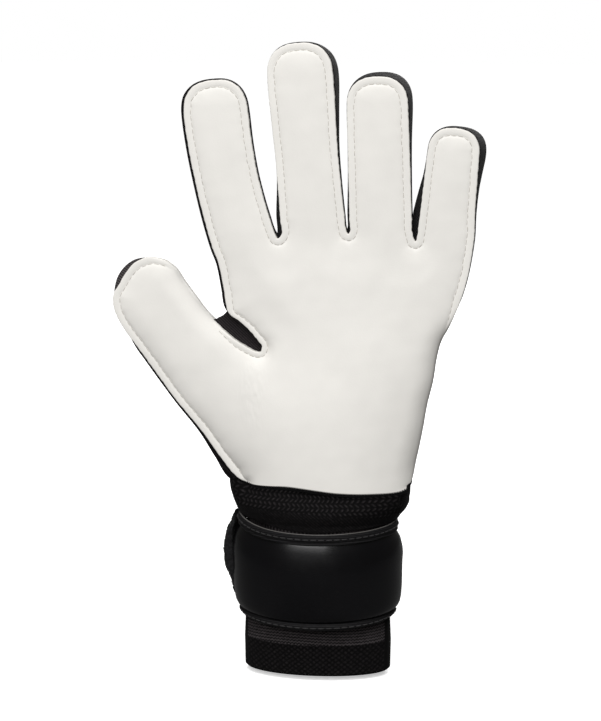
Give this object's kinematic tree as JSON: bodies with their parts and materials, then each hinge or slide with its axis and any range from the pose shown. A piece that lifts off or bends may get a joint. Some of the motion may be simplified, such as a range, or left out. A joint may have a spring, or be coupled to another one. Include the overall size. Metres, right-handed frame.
{
  "type": "goalkeeper glove",
  "caption": "Left-hand goalkeeper glove with a padded latex palm, mesh finger sides, elastic knitted cuff and a wrap strap that opens.",
  "frame": {"origin": "centre of the cuff's rim, where the hand goes in", "axes": "+Z from the wrist to the fingertips, -Y out of the palm, -X towards the thumb"},
  "size_m": [0.1568, 0.0512, 0.2698],
  "materials": {
    "latex": "matte foamed latex, soft and slightly translucent white",
    "foam": "open-cell backing foam",
    "lining": "smooth brushed tricot",
    "back_shell": "matte coated synthetic",
    "mesh": "fine stretch mesh",
    "knit": "elastic ribbed knit, zigzag and lattice stitch",
    "tape": "woven binding tape",
    "strap": "smooth satin synthetic over soft foam",
    "hook_and_loop": "fuzzy hook-and-loop tape"
  },
  "bodies": {
    "root": {"palm_latex": "latex", "palm_foam": "foam", "palm_lining": "lining", "backhand_shell": "back_shell", "backhand_foam": "foam", "backhand_lining": "lining", "side_gusset_little": "mesh", "side_gusset_thumb": "mesh", "side_gusset_index": "mesh", "elastic_cuff": "knit", "hem_tape": "tape", "strap_webbing": "tape", "strap_front_pad": "strap", "strap_upper_binding": "tape", "strap_lower_binding": "tape", "loop_patch": "hook_and_loop"},
    "index_lower": {"index_latex_lower": "latex", "index_back_lower": "back_shell", "index_gusset_left": "mesh", "index_gusset_right": "mesh"},
    "index_upper": {"index_latex_upper": "latex", "index_back_upper": "back_shell", "index_gusset_tip": "mesh"},
    "middle_lower": {"middle_latex_lower": "latex", "middle_back_lower": "back_shell", "middle_gusset_left": "mesh", "middle_gusset_right": "mesh"},
    "middle_upper": {"middle_latex_upper": "latex", "middle_back_upper": "back_shell", "middle_gusset_tip": "mesh"},
    "ring_lower": {"ring_latex_lower": "latex", "ring_back_lower": "back_shell", "ring_gusset_left": "mesh", "ring_gusset_right": "mesh"},
    "ring_upper": {"ring_latex_upper": "latex", "ring_back_upper": "back_shell", "ring_gusset_tip": "mesh"},
    "little_lower": {"little_latex_lower": "latex", "little_back_lower": "back_shell", "little_gusset_left": "mesh", "little_gusset_right": "mesh"},
    "little_upper": {"little_latex_upper": "latex", "little_back_upper": "back_shell", "little_gusset_tip": "mesh"},
    "thumb_lower": {"thumb_latex_lower": "latex", "thumb_back_lower": "back_shell", "thumb_gusset_left": "mesh", "thumb_gusset_right": "mesh"},
    "thumb_upper": {"thumb_latex_upper": "latex", "thumb_back_upper": "back_shell", "thumb_gusset_tip": "mesh"},
    "flap": {"strap_flap": "strap", "hook_patch": "hook_and_loop", "pull_tab": "hook_and_loop"}
  },
  "joints": [
    {"name": "index_base_bend", "type": "hinge", "parent": "root", "child": "index_lower", "pos_m": [-0.0295, -0.0153, 0.1865], "axis": [0.9635, 0, 0.2676], "range_deg": [0, 65], "stiffness_Nm_per_rad": 0.12},
    {"name": "index_middle_bend", "type": "hinge", "parent": "index_lower", "child": "index_upper", "pos_m": [-0.037, -0.0153, 0.2135], "axis": [0.9914, 0, 0.1309], "range_deg": [0, 75], "stiffness_Nm_per_rad": 0.08},
    {"name": "middle_base_bend", "type": "hinge", "parent": "root", "child": "middle_lower", "pos_m": [-0.0005, -0.0153, 0.1905], "axis": [0.9956, 0, 0.0941], "range_deg": [0, 65], "stiffness_Nm_per_rad": 0.12},
    {"name": "middle_middle_bend", "type": "hinge", "parent": "middle_lower", "child": "middle_upper", "pos_m": [-0.0036, -0.0153, 0.2233], "axis": [0.9967, 0, 0.0816], "range_deg": [0, 75], "stiffness_Nm_per_rad": 0.08},
    {"name": "ring_base_bend", "type": "hinge", "parent": "root", "child": "ring_lower", "pos_m": [0.0273, -0.0153, 0.1908], "axis": [0.9995, 0, 0.0327], "range_deg": [0, 65], "stiffness_Nm_per_rad": 0.12},
    {"name": "ring_middle_bend", "type": "hinge", "parent": "ring_lower", "child": "ring_upper", "pos_m": [0.0264, -0.0153, 0.2183], "axis": [0.9993, 0, 0.0369], "range_deg": [0, 75], "stiffness_Nm_per_rad": 0.08},
    {"name": "little_base_bend", "type": "hinge", "parent": "root", "child": "little_lower", "pos_m": [0.0539, -0.0153, 0.1888], "axis": [0.9974, 0, -0.072], "range_deg": [0, 65], "stiffness_Nm_per_rad": 0.12},
    {"name": "little_middle_bend", "type": "hinge", "parent": "little_lower", "child": "little_upper", "pos_m": [0.0553, -0.0153, 0.2082], "axis": [0.9958, 0, -0.0915], "range_deg": [0, 75], "stiffness_Nm_per_rad": 0.08},
    {"name": "thumb_base_bend", "type": "hinge", "parent": "root", "child": "thumb_lower", "pos_m": [-0.039, -0.0173, 0.129], "axis": [0.7766, 0, 0.63], "range_deg": [0, 45], "stiffness_Nm_per_rad": 0.12},
    {"name": "thumb_middle_bend", "type": "hinge", "parent": "thumb_lower", "child": "thumb_upper", "pos_m": [-0.0579, -0.0173, 0.1523], "axis": [0.7547, 0, 0.6561], "range_deg": [0, 55], "stiffness_Nm_per_rad": 0.08},
    {"name": "flap_open", "type": "hinge", "parent": "root", "child": "flap", "pos_m": [0.0342, 0.0094, 0.0475], "axis": [0, 0, -1], "range_deg": [0, 110]}
  ]
}
